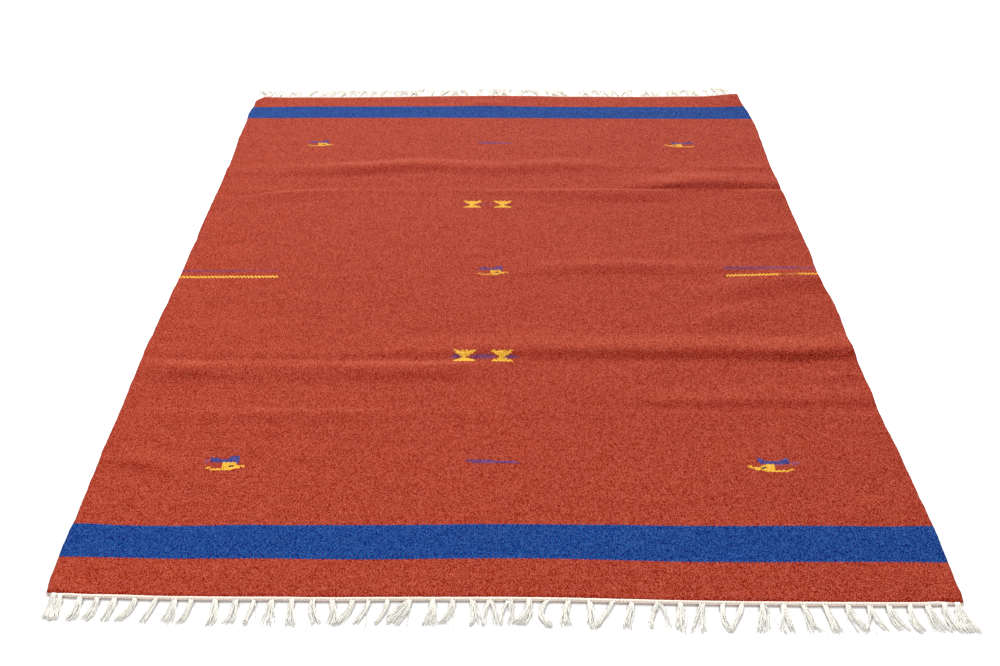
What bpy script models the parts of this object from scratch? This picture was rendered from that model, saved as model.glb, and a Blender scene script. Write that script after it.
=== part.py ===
"""Flat-woven kilim rug lying on a floor, with a twined heading and a fringe at each end.

Units are metres. x runs across the rug, y along it from the near end to the far end, z up.
The tables give places on the woven field, whose middle is the empty that holds every piece.
The world's origin is on the floor, at the middle of the box that the whole rug fills.
"""

import math
import random
from collections import namedtuple

import bmesh
import bpy

# Woven field
FIELD_WIDTH = 1.400
FIELD_LENGTH = 2.000
CLOTH_THICKNESS = 0.004
FIELD_CENTRE = (-0.0056, 0.0009, 0.0)

# Heading, a twined cotton band along each end
HEADING_DEPTH = 0.0075
HEADING_HEIGHT = 0.0050
HEADING_END_SCALE = 0.55

# Fringe, bunches of warp ends
NECK_WIDTH = 0.006
FRINGE_THICKNESS = 0.003
FRINGE_LENGTH = 0.052
FRINGE_LENGTH_SPREAD = 0.003
COMB_SPINE = 0.002
LEAST_TOOTH_GAP = 0.0015
LEAST_TOOTH_WIDTH = 0.006

GAP = 0.0003

# The end's unevenness fades out along the field, from all of it at the end to none here.
END_REACH = 0.40

# Columns of the cloth's mesh stand closer together towards its sides.
COLUMNS = 18
SIDE_CROWDING = math.radians(65)

# Rows of the cloth's mesh, from the near end: how far each zone goes, and its row spacing.
RowZone = namedtuple("RowZone", "to_y step")
ROW_ZONES = (
    RowZone(-0.780, 0.073),
    RowZone(-0.620, 0.020),
    RowZone(-0.580, 0.040),
    RowZone(-0.260, 0.0134),
    RowZone(-0.020, 0.022),
    RowZone(0.060, 0.0134),
    RowZone(0.130, 0.035),
    RowZone(0.210, 0.016),
    RowZone(0.290, 0.040),
    RowZone(0.600, 0.0130),
    RowZone(0.880, 0.070),
    RowZone(1.000, 0.024),
)

# How far the cloth's edges stray from a straight rectangle.
Stray = namedtuple("Stray", "at by")
LEFT_SIDE = (
    Stray(-1.00, 0.0090),
    Stray(-0.97, 0.0030),
    Stray(-0.94, 0.0030),
    Stray(-0.865, 0.0008),
    Stray(-0.83, 0.0028),
    Stray(-0.66, -0.0013),
    Stray(-0.49, -0.0022),
    Stray(-0.29, -0.0046),
    Stray(-0.04, 0.0004),
    Stray(0.22, -0.0004),
    Stray(0.50, 0.0018),
    Stray(0.60, 0.0015),
    Stray(0.68, -0.0028),
    Stray(0.82, -0.0030),
    Stray(0.885, -0.0054),
    Stray(0.93, -0.0020),
    Stray(0.975, 0.0000),
    Stray(0.99, 0.0090),
    Stray(1.00, 0.0190),
)
RIGHT_SIDE = (
    Stray(-1.00, -0.0016),
    Stray(-0.985, 0.0003),
    Stray(-0.89, 0.0045),
    Stray(-0.79, 0.0052),
    Stray(-0.75, 0.0029),
    Stray(-0.63, 0.0029),
    Stray(-0.58, -0.0004),
    Stray(-0.50, -0.0005),
    Stray(-0.44, 0.0012),
    Stray(-0.30, 0.0015),
    Stray(-0.17, 0.0064),
    Stray(-0.11, 0.0034),
    Stray(-0.05, -0.0022),
    Stray(0.09, 0.0032),
    Stray(0.16, 0.0015),
    Stray(0.31, 0.0018),
    Stray(0.48, -0.0009),
    Stray(0.80, 0.0086),
    Stray(0.84, 0.0060),
    Stray(0.895, 0.0032),
    Stray(0.95, -0.0066),
    Stray(0.98, -0.0064),
    Stray(1.00, -0.0084),
)
NEAR_END = (
    Stray(-0.70, 0.0080),
    Stray(-0.64, 0.0028),
    Stray(-0.42, -0.0018),
    Stray(-0.02, -0.0001),
    Stray(0.36, -0.0068),
    Stray(0.70, -0.0063),
)
FAR_END = (
    Stray(-0.70, -0.0270),
    Stray(-0.54, -0.0211),
    Stray(-0.42, -0.0198),
    Stray(-0.30, -0.0146),
    Stray(-0.20, -0.0075),
    Stray(-0.10, -0.0035),
    Stray(0.00, -0.0005),
    Stray(0.20, -0.0038),
    Stray(0.40, -0.0022),
    Stray(0.54, 0.0035),
    Stray(0.60, 0.0043),
    Stray(0.70, 0.0080),
)

# Ridges: where each crest runs, its height there, and how far its two slopes reach.
Crest = namedtuple("Crest", "x y height")
Ridge = namedtuple("Ridge", "name far_slope near_slope crest")
RIDGES = (
    Ridge("far wave", 0.047, 0.056, (
        Crest(-0.70, 0.486, 0.0012),
        Crest(-0.50, 0.497, 0.0025),
        Crest(-0.35, 0.509, 0.0063),
        Crest(-0.20, 0.531, 0.0050),
        Crest(-0.03, 0.519, 0.0040),
        Crest(0.20, 0.536, 0.0035),
        Crest(0.36, 0.519, 0.0006),
        Crest(0.70, 0.524, 0.0024),
    )),
    Ridge("far right bulge", 0.075, 0.050, (
        Crest(0.28, 0.423, 0.0000),
        Crest(0.40, 0.416, 0.0072),
        Crest(0.50, 0.434, 0.0084),
        Crest(0.60, 0.434, 0.0069),
        Crest(0.70, 0.436, 0.0050),
    )),
    Ridge("far crease", 0.017, 0.070, (
        Crest(-0.70, 0.308, 0.0002),
        Crest(-0.55, 0.356, 0.0023),
        Crest(-0.35, 0.378, 0.0006),
        Crest(0.00, 0.378, 0.0010),
        Crest(0.25, 0.380, 0.0050),
        Crest(0.38, 0.374, 0.0051),
        Crest(0.50, 0.381, 0.0004),
        Crest(0.70, 0.382, 0.0041),
    )),
    Ridge("middle wave", 0.037, 0.043, (
        Crest(-0.02, -0.022, 0.0000),
        Crest(0.08, -0.003, 0.0015),
        Crest(0.25, 0.008, 0.0036),
        Crest(0.60, 0.002, 0.0010),
        Crest(0.70, -0.005, 0.0000),
    )),
    Ridge("right edge pucker", 0.050, 0.039, (
        Crest(0.48, 0.138, 0.0000),
        Crest(0.60, 0.160, 0.0030),
        Crest(0.70, 0.172, 0.0016),
    )),
    Ridge("upper slant", 0.074, 0.064, (
        Crest(0.36, -0.115, 0.0000),
        Crest(0.48, -0.096, 0.0030),
        Crest(0.58, -0.060, 0.0045),
        Crest(0.70, -0.037, 0.0040),
    )),
    Ridge("lower slant", 0.056, 0.067, (
        Crest(0.36, -0.246, 0.0000),
        Crest(0.46, -0.198, 0.0032),
        Crest(0.54, -0.180, 0.0007),
        Crest(0.64, -0.187, 0.0000),
    )),
    Ridge("strong ridge", 0.064, 0.042, (
        Crest(-0.32, -0.339, 0.0000),
        Crest(-0.15, -0.332, 0.0028),
        Crest(0.10, -0.326, 0.0048),
        Crest(0.35, -0.327, 0.0065),
        Crest(0.48, -0.325, 0.0060),
        Crest(0.58, -0.331, 0.0069),
        Crest(0.70, -0.315, 0.0060),
    )),
    Ridge("left crease", 0.031, 0.059, (
        Crest(-0.70, -0.387, 0.0013),
        Crest(-0.60, -0.397, 0.0051),
        Crest(-0.48, -0.393, 0.0021),
        Crest(-0.15, -0.393, 0.0047),
        Crest(0.06, -0.377, 0.0000),
    )),
    Ridge("near right wave", 0.046, 0.034, (
        Crest(0.12, -0.478, 0.0000),
        Crest(0.32, -0.489, 0.0016),
        Crest(0.70, -0.485, 0.0024),
    )),
    Ridge("near left wave", 0.024, 0.044, (
        Crest(-0.70, -0.543, 0.0000),
        Crest(-0.52, -0.541, 0.0015),
        Crest(-0.40, -0.541, 0.0012),
        Crest(0.05, -0.541, 0.0000),
    )),
    Ridge("near left slant", 0.043, 0.030, (
        Crest(-0.70, -0.673, 0.0013),
        Crest(-0.63, -0.679, 0.0029),
        Crest(-0.55, -0.712, 0.0012),
        Crest(-0.47, -0.749, 0.0000),
    )),
)

# Corners that curl off the floor: how high, and how far in the curl reaches.
CornerCurl = namedtuple("CornerCurl", "x y height reach")
CORNER_CURLS = (
    CornerCurl(-0.70, -1.00, 0.0025, 0.07),
    CornerCurl(0.70, -1.00, 0.0025, 0.07),
    CornerCurl(-0.70, 1.00, 0.0030, 0.10),
    CornerCurl(0.74, 1.02, 0.0105, 0.17),
)

# Runs of tassels that lie alike, from the left. pitch is the step from the tassel before,
# lean is how far the tips lie to the right of the neck, and spread is their width.
TasselRun = namedtuple("TasselRun", "count pitch lean spread")
NEAR_FIRST_NECK = -0.679
NEAR_TASSELS = (
    TasselRun(2, 0.0100, -0.0010, 0.0170),
    TasselRun(3, 0.0277, -0.0055, 0.0177),
    TasselRun(4, 0.0293, -0.0101, 0.0143),
    TasselRun(3, 0.0313, -0.0037, 0.0127),
    TasselRun(2, 0.0290, 0.0018, 0.0165),
    TasselRun(1, 0.0310, 0.0105, 0.0150),
    TasselRun(1, 0.0280, 0.0030, 0.0140),
    TasselRun(1, 0.0320, -0.0185, 0.0110),
    TasselRun(2, 0.0265, -0.0158, 0.0095),
    TasselRun(1, 0.0330, -0.0220, 0.0200),
    TasselRun(1, 0.0340, -0.0045, 0.0210),
    TasselRun(1, 0.0310, -0.0145, 0.0150),
    TasselRun(3, 0.0287, -0.0070, 0.0093),
    TasselRun(1, 0.0290, -0.0150, 0.0220),
    TasselRun(3, 0.0307, -0.0010, 0.0140),
    TasselRun(1, 0.0360, -0.0260, 0.0080),
    TasselRun(1, 0.0280, -0.0125, 0.0110),
    TasselRun(1, 0.0390, -0.0140, 0.0080),
    TasselRun(1, 0.0340, -0.0055, 0.0150),
    TasselRun(1, 0.0330, -0.0200, 0.0060),
    TasselRun(1, 0.0310, 0.0040, 0.0100),
    TasselRun(1, 0.0290, -0.0225, 0.0110),
    TasselRun(1, 0.0310, -0.0130, 0.0120),
    TasselRun(2, 0.0305, 0.0045, 0.0210),
    TasselRun(4, 0.0323, 0.0053, 0.0165),
    TasselRun(2, 0.0295, 0.0073, 0.0205),
    TasselRun(1, 0.0260, 0.0035, 0.0210),
    TasselRun(1, 0.0200, 0.0085, 0.0390),
)
FAR_FIRST_NECK = -0.664
FAR_TASSELS = (
    TasselRun(2, 0.0260, -0.014, 0.020),
    TasselRun(3, 0.0280, 0.012, 0.020),
    TasselRun(2, 0.0300, -0.008, 0.016),
    TasselRun(4, 0.0290, 0.014, 0.020),
    TasselRun(3, 0.0300, -0.012, 0.022),
    TasselRun(4, 0.0290, 0.008, 0.020),
    TasselRun(3, 0.0285, -0.018, 0.018),
    TasselRun(3, 0.0300, 0.010, 0.018),
    TasselRun(4, 0.0290, -0.010, 0.022),
    TasselRun(4, 0.0290, 0.014, 0.020),
    TasselRun(3, 0.0300, -0.006, 0.018),
    TasselRun(4, 0.0285, -0.014, 0.022),
    TasselRun(4, 0.0290, 0.010, 0.020),
    TasselRun(2, 0.0280, -0.012, 0.020),
    TasselRun(2, 0.0240, -0.022, 0.022),
)

RED_WOOL = (0.500, 0.085, 0.045, 1.0)
CREAM_COTTON = (0.800, 0.730, 0.590, 1.0)

Tassel = namedtuple("Tassel", "neck tip_left tip_right length")


def curve_through(stops, at):
    """Value at `at` on a smooth curve through (place, value) stops, level outside them."""
    if at <= stops[0][0]:
        return stops[0][1]
    if at >= stops[-1][0]:
        return stops[-1][1]
    right = next(index for index, stop in enumerate(stops) if stop[0] > at)
    left = right - 1
    (start, low), (end, high) = stops[left], stops[right]
    span = end - start
    slope_in = slope_out = 0.0
    if left > 0:
        slope_in = (high - stops[left - 1][1]) / (end - stops[left - 1][0])
    if right < len(stops) - 1:
        slope_out = (stops[right + 1][1] - low) / (stops[right + 1][0] - start)
    t = (at - start) / span
    rise = t * t * (3 - 2 * t)
    bend = slope_in * t * (1 - t) ** 2 - slope_out * t * t * (1 - t)
    return low + (high - low) * rise + span * bend


def hump(distance, reach):
    """A smooth rise from 0 at `reach` to 1 at no distance."""
    if abs(distance) >= reach:
        return 0.0
    return math.cos(0.5 * math.pi * distance / reach) ** 2


def ridge_height(ridge, x, y):
    first, last = ridge.crest[0], ridge.crest[-1]
    if x < first.x and first.height == 0 or x > last.x and last.height == 0:
        return 0.0
    beyond = y - curve_through([(crest.x, crest.y) for crest in ridge.crest], x)
    height = max(0.0, curve_through([(crest.x, crest.height) for crest in ridge.crest], x))
    return height * hump(beyond, ridge.far_slope if beyond > 0 else ridge.near_slope)


def lift(x, y):
    """Height of the cloth's underside over the floor."""
    ridges = sum(ridge_height(ridge, x, y) for ridge in RIDGES)
    curls = sum(
        curl.height * hump(math.hypot(x - curl.x, y - curl.y), curl.reach)
        for curl in CORNER_CURLS
    )
    return ridges + curls


def end_line(end, x):
    """y of the cloth's end, near (-1) or far (1), at x."""
    strays = NEAR_END if end < 0 else FAR_END
    return end * FIELD_LENGTH / 2 + curve_through(strays, x)


def field_place(across, along):
    """Place on the uneven field of a point of the straight one: across from -1 to 1, along in metres."""
    side = LEFT_SIDE if across < 0 else RIGHT_SIDE
    x = across * FIELD_WIDTH / 2 + abs(across) * curve_through(side, along)
    end = -1 if along < 0 else 1
    share = max(0.0, 1 - (FIELD_LENGTH / 2 - abs(along)) / END_REACH) ** 2
    stray = end_line(end, x) - end * FIELD_LENGTH / 2
    return x, along + share * stray


def column_places():
    """Places across the field, from -1 to 1."""
    turns = [SIDE_CROWDING * (2 * index / COLUMNS - 1) for index in range(COLUMNS + 1)]
    return [math.sin(turn) / math.sin(SIDE_CROWDING) for turn in turns]


def row_places():
    """Places along the field, in metres."""
    rows = [-FIELD_LENGTH / 2]
    for zone in ROW_ZONES:
        start = rows[-1]
        steps = round((zone.to_y - start) / zone.step)
        rows += [start + (zone.to_y - start) * step / steps for step in range(1, steps + 1)]
    return rows


def end_corners(end):
    """The cloth's corners and column points along one end, from the left."""
    return [field_place(across, end * FIELD_LENGTH / 2) for across in column_places()]


def tassels_of(runs, neck, seed):
    """Tassels from the left, each kept clear of the one before."""
    chance = random.Random(seed)
    tassels = []
    taken = -FIELD_WIDTH
    for number, run in enumerate(runs):
        for index in range(run.count):
            if number or index:
                neck += run.pitch
            length = FRINGE_LENGTH + chance.uniform(-1, 1) * FRINGE_LENGTH_SPREAD
            left = max(neck + run.lean - run.spread / 2, taken + LEAST_TOOTH_GAP)
            right = max(neck + run.lean + run.spread / 2, left + LEAST_TOOTH_WIDTH)
            tassels.append(Tassel(neck, left, right, length))
            taken = right
    return tassels


def make_material(name, colour, roughness):
    material = bpy.data.materials.new(name)
    material.use_nodes = True
    shader = material.node_tree.nodes["Principled BSDF"]
    shader.inputs["Base Color"].default_value = colour
    shader.inputs["Roughness"].default_value = roughness
    return material


def add_object(name, data, collection, holder, material):
    piece = bpy.data.objects.new(name, data)
    piece.parent = holder
    data.materials.append(material)
    collection.objects.link(piece)
    return piece


def curve_to_mesh(curve_object):
    """A closed mesh of a curve object, which is removed."""
    bpy.context.view_layer.update()
    graph = bpy.context.evaluated_depsgraph_get()
    mesh = bpy.data.meshes.new_from_object(curve_object.evaluated_get(graph))
    edit = bmesh.new()
    edit.from_mesh(mesh)
    bmesh.ops.remove_doubles(edit, verts=edit.verts, dist=0.00002)
    bmesh.ops.recalc_face_normals(edit, faces=edit.faces)
    edit.to_mesh(mesh)
    edit.free()
    bpy.data.objects.remove(curve_object)
    return mesh


def make_cloth(collection, holder):
    """The woven field: a grid laid over the ridges, thickened upwards."""
    columns, rows = column_places(), row_places()
    edit = bmesh.new()
    bmesh.ops.create_grid(edit, x_segments=COLUMNS, y_segments=len(rows) - 1, size=1.0)
    for vert in edit.verts:
        column = round((vert.co.x + 1) / 2 * COLUMNS)
        row = round((vert.co.y + 1) / 2 * (len(rows) - 1))
        x, y = field_place(columns[column], rows[row])
        vert.co = (x, y, lift(x, y))
    mesh = bpy.data.meshes.new("rug_cloth")
    edit.to_mesh(mesh)
    edit.free()
    mesh.shade_smooth()
    cloth = add_object("rug_cloth", mesh, collection, holder, make_material("red wool", RED_WOOL, 0.9))
    thicken = cloth.modifiers.new("Solidify", "SOLIDIFY")
    thicken.thickness = CLOTH_THICKNESS
    thicken.offset = 1.0
    thicken.use_even_offset = True


def heading_profile(guides):
    """Cross-section of a heading, flat below and round above, with its foot's middle at 0."""
    half, height = HEADING_DEPTH / 2, HEADING_HEIGHT
    outline = (
        (-0.60 * half, 0.0),
        (0.60 * half, 0.0),
        (half, 0.40 * height),
        (0.62 * half, 0.88 * height),
        (0.0, height),
        (-0.62 * half, 0.88 * height),
        (-half, 0.40 * height),
    )
    data = bpy.data.curves.new("heading profile", "CURVE")
    data.dimensions = "2D"
    spline = data.splines.new("POLY")
    spline.points.add(len(outline) - 1)
    for point, (depth, up) in zip(spline.points, outline):
        point.co = (depth, up, 0.0, 1.0)
    spline.use_cyclic_u = True
    profile = bpy.data.objects.new("heading profile", data)
    profile.hide_render = True
    profile.display_type = "WIRE"
    guides.objects.link(profile)
    return profile


def make_heading(name, end, collection, holder, profile, material):
    """A twined band: the profile swept along one end of the cloth, slimmer at both corners."""
    data = bpy.data.curves.new(name, "CURVE")
    data.dimensions = "3D"
    data.twist_mode = "Z_UP"
    data.bevel_mode = "OBJECT"
    data.bevel_object = profile
    data.use_fill_caps = True
    spline = data.splines.new("POLY")
    corners = end_corners(end)
    spline.points.add(len(corners) - 1)
    for point, (x, y) in zip(spline.points, corners):
        outwards = end * (HEADING_DEPTH / 2 + GAP)
        point.co = (x, y + outwards, lift(x, y), 1.0)
    spline.points[0].radius = HEADING_END_SCALE
    spline.points[-1].radius = HEADING_END_SCALE
    heading = add_object(name, data, collection, holder, material)
    mesh = curve_to_mesh(heading)
    add_object(name, mesh, collection, holder, material)


def comb_outline(end, tassels):
    """Outline of a fringe: its spine along the heading, then each tassel from the right."""
    spine_in = HEADING_DEPTH + 2 * GAP
    spine_out = spine_in + COMB_SPINE
    outline = [(x, y + end * spine_in) for x, y in end_corners(end)]
    for tassel in reversed(tassels):
        root = end_line(end, tassel.neck) + end * spine_out
        tip = root + end * tassel.length
        outline += [
            (tassel.neck + NECK_WIDTH / 2, root),
            (tassel.tip_right, tip),
            (tassel.tip_left, tip),
            (tassel.neck - NECK_WIDTH / 2, root),
        ]
    return outline


def make_fringe(name, end, tassels, collection, holder, material):
    """A comb of warp ends: its outline extruded, its spine lifted to the heading."""
    data = bpy.data.curves.new(name, "CURVE")
    data.dimensions = "2D"
    data.fill_mode = "BOTH"
    data.extrude = FRINGE_THICKNESS / 2
    outline = comb_outline(end, tassels)
    spline = data.splines.new("POLY")
    spline.points.add(len(outline) - 1)
    for point, (x, y) in zip(spline.points, outline):
        point.co = (x, y, 0.0, 1.0)
    spline.use_cyclic_u = True
    mesh = curve_to_mesh(add_object(name, data, collection, holder, material))
    spine_out = HEADING_DEPTH + 2 * GAP + COMB_SPINE
    for vert in mesh.vertices:
        line = end_line(end, vert.co.x)
        beyond = abs(vert.co.y - line)
        hangs = max(0.0, 1 - max(0.0, beyond - spine_out) / (FRINGE_LENGTH / 2))
        vert.co.z += FRINGE_THICKNESS / 2 + hangs * lift(vert.co.x, line)
    add_object(name, mesh, collection, holder, material)


def main():
    for old in list(bpy.data.objects):
        bpy.data.objects.remove(old)
    rug = bpy.data.collections.new("kilim rug")
    guides = bpy.data.collections.new("guides")
    bpy.context.scene.collection.children.link(rug)
    bpy.context.scene.collection.children.link(guides)
    holder = bpy.data.objects.new("field centre", None)
    holder.location = FIELD_CENTRE
    rug.objects.link(holder)
    make_cloth(rug, holder)
    profile = heading_profile(guides)
    near_tassels = tassels_of(NEAR_TASSELS, NEAR_FIRST_NECK, seed=3)
    far_tassels = tassels_of(FAR_TASSELS, FAR_FIRST_NECK, seed=8)
    for side, end, tassels in (("near", -1, near_tassels), ("far", 1, far_tassels)):
        cotton = make_material(f"cream cotton heading {side}", CREAM_COTTON, 0.85)
        make_heading(f"heading_{side}", end, rug, holder, profile, cotton)
        warp = make_material(f"cream cotton warp {side}", CREAM_COTTON, 0.9)
        make_fringe(f"fringe_{side}", end, tassels, rug, holder, warp)


main()
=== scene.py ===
"""Looks of the flat-woven kilim rug: cloth, headings, fringes, floor, light and camera.

Units are metres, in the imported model's frame. x runs across the rug, y along it, z up.
The tables give places on the woven field, whose middle is FIELD_CENTRE, as in the model's source.
"""

import math
from collections import namedtuple

import bpy
import numpy as np
from mathutils import Matrix, Vector

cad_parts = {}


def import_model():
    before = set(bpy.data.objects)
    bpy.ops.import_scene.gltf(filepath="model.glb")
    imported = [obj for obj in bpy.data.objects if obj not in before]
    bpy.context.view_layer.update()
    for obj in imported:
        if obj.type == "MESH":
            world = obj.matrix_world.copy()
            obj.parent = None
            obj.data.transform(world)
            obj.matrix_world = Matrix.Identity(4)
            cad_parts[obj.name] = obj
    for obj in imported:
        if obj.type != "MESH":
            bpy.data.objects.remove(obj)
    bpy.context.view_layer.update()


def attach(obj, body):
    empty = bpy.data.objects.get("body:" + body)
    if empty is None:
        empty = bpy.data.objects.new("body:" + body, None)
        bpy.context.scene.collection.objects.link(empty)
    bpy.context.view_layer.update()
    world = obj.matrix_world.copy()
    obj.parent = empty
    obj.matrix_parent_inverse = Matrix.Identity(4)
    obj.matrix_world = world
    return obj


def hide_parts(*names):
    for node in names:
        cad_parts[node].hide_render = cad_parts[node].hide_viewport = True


MM = 0.001
NEAR, FAR = -1, 1

# Woven field
FIELD_WIDTH = 1.4
FIELD_LENGTH = 2.0
HALF_WIDTH = FIELD_WIDTH / 2
HALF_LENGTH = FIELD_LENGTH / 2
CLOTH_THICKNESS = 0.004
FIELD_CENTRE = np.array((-0.0056, 0.0009, 0.0))

# Heading, and the gap between neighbouring solids
HEADING_DEPTH = 0.0075
GAP = 0.0003

# Weave: ribs over the warps, the beads of weft along each rib, and how far the edge of a colour
# steps from one rib to the next
RIB = 0.0039
BEAD = 0.003
TOOTH = 0.0015


def strays(*stops):
    """Stops of a curve: a place in metres, and how far the line strays there in millimetres."""
    return tuple((place, stray * MM) for place, stray in stops)


LEFT_SIDE = strays(
    (-1, 9), (-0.985, 5.6), (-0.97, 3), (-0.94, 3), (-0.9, 1.5), (-0.865, 0.8), (-0.83, 2.8),
    (-0.78, 1.3), (-0.72, 0.8), (-0.66, -1.3), (-0.58, -1.1), (-0.49, -2.2), (-0.4, -3.6),
    (-0.29, -4.6), (-0.19, -2.5), (-0.1, -1.2), (-0.04, 0.4), (0.07, 0.6), (0.14, 1), (0.22, -0.4),
    (0.3, 0.6), (0.38, 1.6), (0.5, 1.8), (0.6, 1.5), (0.68, -2.8), (0.76, -3), (0.82, -3),
    (0.885, -5.4), (0.93, -2), (0.96, -1.6), (0.975, 0), (0.99, 9), (1, 19),
)
RIGHT_SIDE = strays(
    (-1, -1.6), (-0.985, 0.3), (-0.95, 1.4), (-0.89, 4.5), (-0.83, 4.6), (-0.79, 5.2),
    (-0.75, 2.9), (-0.7, 3.3), (-0.63, 2.9), (-0.58, -0.4), (-0.5, -0.5), (-0.44, 1.2), (-0.38, 1),
    (-0.3, 1.5), (-0.23, 4.1), (-0.17, 6.4), (-0.11, 3.4), (-0.05, -2.2), (0.02, 0.4), (0.09, 3.2),
    (0.16, 1.5), (0.24, 2), (0.31, 1.8), (0.4, 0.2), (0.48, -0.9), (0.57, 0.1), (0.63, 3.3),
    (0.7, 5), (0.77, 7.8), (0.8, 8.6), (0.84, 6), (0.895, 3.2), (0.95, -6.6), (0.98, -6.4),
    (1, -8.4),
)
NEAR_END = strays(
    (-0.7, 8), (-0.68, 6), (-0.64, 2.8), (-0.58, 1.6), (-0.53, -0.2), (-0.42, -1.8), (-0.34, -1.5),
    (-0.25, -2.1), (-0.16, -0.9), (-0.02, -0.1), (0.08, -0.7), (0.17, -3), (0.28, -5.8),
    (0.36, -6.8), (0.45, -7.6), (0.55, -7.9), (0.62, -7.6), (0.7, -6.3),
)
FAR_END = strays(
    (-0.7, -27), (-0.62, -23.5), (-0.54, -21.1), (-0.42, -19.8), (-0.3, -14.6), (-0.2, -7.5),
    (-0.1, -3.5), (0, -0.5), (0.08, -1), (0.14, -2.4), (0.2, -3.8), (0.3, -2.8), (0.4, -2.2),
    (0.45, 0), (0.54, 3.5), (0.6, 4.3), (0.65, 7), (0.7, 8),
)

# Lines of weft, by how far along they are woven, and how far each strays from straight.
WEFT_LINES = (
    (-1.0, NEAR_END),
    (-0.92, strays(
        (-0.68, 3.6), (-0.6, 1.1), (-0.52, -0.4), (-0.4, 0.9), (-0.27, -0.5), (-0.2, -0.5),
        (-0.11, 1.8), (-0.04, 3.1), (0.06, 3.2), (0.17, 0.9), (0.25, -1.5), (0.36, -2.9),
        (0.5, -1.5), (0.61, -0.8), (0.7, -1.5),
    )),
    (-0.84, strays(
        (-0.68, 1.2), (-0.62, -2.4), (-0.51, -3.2), (-0.42, -0.6), (-0.34, -0.8), (-0.28, 0.3),
        (-0.17, 1.1), (-0.05, 3.7), (0.06, 4.1), (0.18, 3.8), (0.26, 2.2), (0.35, 1.9), (0.46, 3),
        (0.55, 3), (0.63, 2.4), (0.7, 4.5),
    )),
    (-0.4, strays((-0.7, 0), (0.7, 0))),
    (0.0, strays((-0.7, -13), (-0.4, -8), (0.1, 0), (0.7, 9))),
    (0.4, strays((-0.7, -2), (0.7, 2))),
    (0.84, strays(
        (-0.69, -15), (-0.6, -13.7), (-0.53, -11.2), (-0.45, -8.6), (-0.34, -6.7), (-0.2, -5.1),
        (-0.08, -2.6), (0.05, -2), (0.25, -1.9), (0.42, -1.2), (0.54, 0), (0.61, 1.6), (0.7, 2.3),
    )),
    (0.922, strays(
        (-0.69, -16), (-0.61, -12.6), (-0.54, -10.4), (-0.45, -7.9), (-0.38, -7.6), (-0.3, -5.3),
        (-0.22, -4.2), (-0.12, -1.8), (0, -0.2), (0.08, 0.6), (0.18, -1.3), (0.31, -0.2),
        (0.42, 2.2), (0.54, 3.7), (0.7, 3.6),
    )),
    (1.0, FAR_END),
)

Ridge = namedtuple("Ridge", "far_slope near_slope line heights")


def ridge(far_slope, near_slope, *crest):
    """How far its slopes reach, and its crest by x, y and the height in millimetres."""
    line = [(x, y) for x, y, _ in crest]
    return Ridge(far_slope, near_slope, line, [(x, height * MM) for x, _, height in crest])


RIDGES = {
    "far wave": ridge(
        0.047, 0.056, (-0.7, 0.486, 1.2), (-0.5, 0.497, 2.5), (-0.35, 0.509, 6.3),
        (-0.2, 0.531, 5), (-0.03, 0.519, 4), (0.2, 0.536, 3.5), (0.36, 0.519, 0.6),
        (0.7, 0.524, 2.4),
    ),
    "far right bulge": ridge(
        0.075, 0.05, (0.28, 0.423, 0), (0.4, 0.416, 7.2), (0.5, 0.434, 8.4), (0.6, 0.434, 6.9),
        (0.7, 0.436, 5),
    ),
    "far crease": ridge(
        0.017, 0.07, (-0.7, 0.308, 0.2), (-0.55, 0.356, 2.3), (-0.35, 0.378, 0.6), (0, 0.378, 1),
        (0.25, 0.38, 5), (0.38, 0.374, 5.1), (0.5, 0.381, 0.4), (0.7, 0.382, 4.1),
    ),
    "middle wave": ridge(
        0.037, 0.043, (-0.02, -0.022, 0), (0.08, -0.003, 1.5), (0.25, 0.008, 3.6), (0.6, 0.002, 1),
        (0.7, -0.005, 0),
    ),
    "right edge pucker": ridge(0.05, 0.039, (0.48, 0.138, 0), (0.6, 0.16, 3), (0.7, 0.172, 1.6)),
    "upper slant": ridge(
        0.074, 0.064, (0.36, -0.115, 0), (0.48, -0.096, 3), (0.58, -0.06, 4.5), (0.7, -0.037, 4),
    ),
    "lower slant": ridge(
        0.056, 0.067, (0.36, -0.246, 0), (0.46, -0.198, 3.2), (0.54, -0.18, 0.7),
        (0.64, -0.187, 0),
    ),
    "strong ridge": ridge(
        0.064, 0.042, (-0.32, -0.339, 0), (-0.15, -0.332, 2.8), (0.1, -0.326, 4.8),
        (0.35, -0.327, 6.5), (0.48, -0.325, 6), (0.58, -0.331, 6.9), (0.7, -0.315, 6),
    ),
    "left crease": ridge(
        0.031, 0.059, (-0.7, -0.387, 1.3), (-0.6, -0.397, 5.1), (-0.48, -0.393, 2.1),
        (-0.15, -0.393, 4.7), (0.06, -0.377, 0),
    ),
    "near right wave": ridge(
        0.046, 0.034, (0.12, -0.478, 0), (0.32, -0.489, 1.6), (0.7, -0.485, 2.4),
    ),
    "near left wave": ridge(
        0.024, 0.044, (-0.7, -0.543, 0), (-0.52, -0.541, 1.5), (-0.4, -0.541, 1.2),
        (0.05, -0.541, 0),
    ),
    "near left slant": ridge(
        0.043, 0.03, (-0.7, -0.673, 1.3), (-0.63, -0.679, 2.9), (-0.55, -0.712, 1.2),
        (-0.47, -0.749, 0),
    ),
}

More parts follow.
